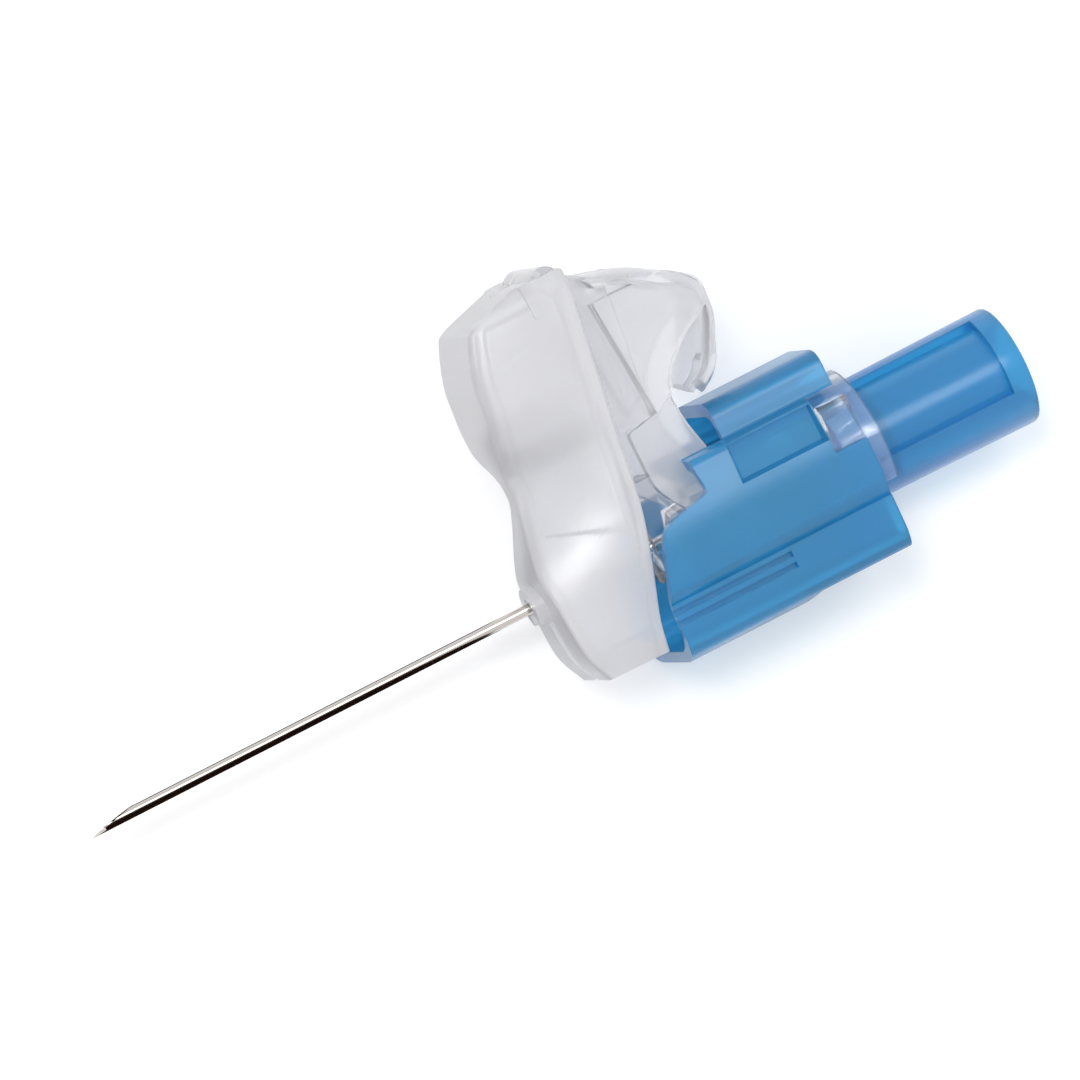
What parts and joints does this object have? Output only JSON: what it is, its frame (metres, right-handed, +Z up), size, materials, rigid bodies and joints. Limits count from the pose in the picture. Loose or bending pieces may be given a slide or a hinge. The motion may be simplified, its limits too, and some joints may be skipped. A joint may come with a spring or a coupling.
{
  "type": "safety hypodermic needle",
  "caption": "Safety hypodermic needle: steel cannula in a blue luer hub with a collar, and a clear folding shield that swings out over the tip.",
  "frame": {"origin": "centre of the luer mouth's rim, on the needle's axis", "axes": "+X out of the luer mouth along the needle's axis with the tip at minus X, +Y the way the folded shield stands, +Z up from the surface that the needle lies on"},
  "size_m": [0.055, 0.022, 0.01],
  "materials": {
    "stainless_steel": "drawn and polished",
    "epoxy": "cured, glossy",
    "blue_polypropylene": "moulded, translucent satin",
    "clear_polypropylene": "moulded, milky translucent satin"
  },
  "bodies": {
    "hub": {"needle_hub": "blue_polypropylene", "cannula": "stainless_steel", "adhesive_bead": "epoxy", "shield_mount": "clear_polypropylene"},
    "proximal_arm": {"proximal_arm": "clear_polypropylene"},
    "distal_arm": {"distal_arm": "clear_polypropylene"}
  },
  "joints": [
    {"name": "arm_hinge", "type": "hinge", "parent": "hub", "child": "proximal_arm", "pos_m": [-0.0172, -0.002, 0], "axis": [0, 0, 1], "range_deg": [0, 75]},
    {"name": "knee_hinge", "type": "hinge", "parent": "proximal_arm", "child": "distal_arm", "pos_m": [-0.02132, 0.01501, 0], "axis": [0, 0, 1], "range_deg": [-150, 0]}
  ],
  "couplings": [
    {"joint": "knee_hinge", "follows": "arm_hinge", "ratio": -2}
  ]
}
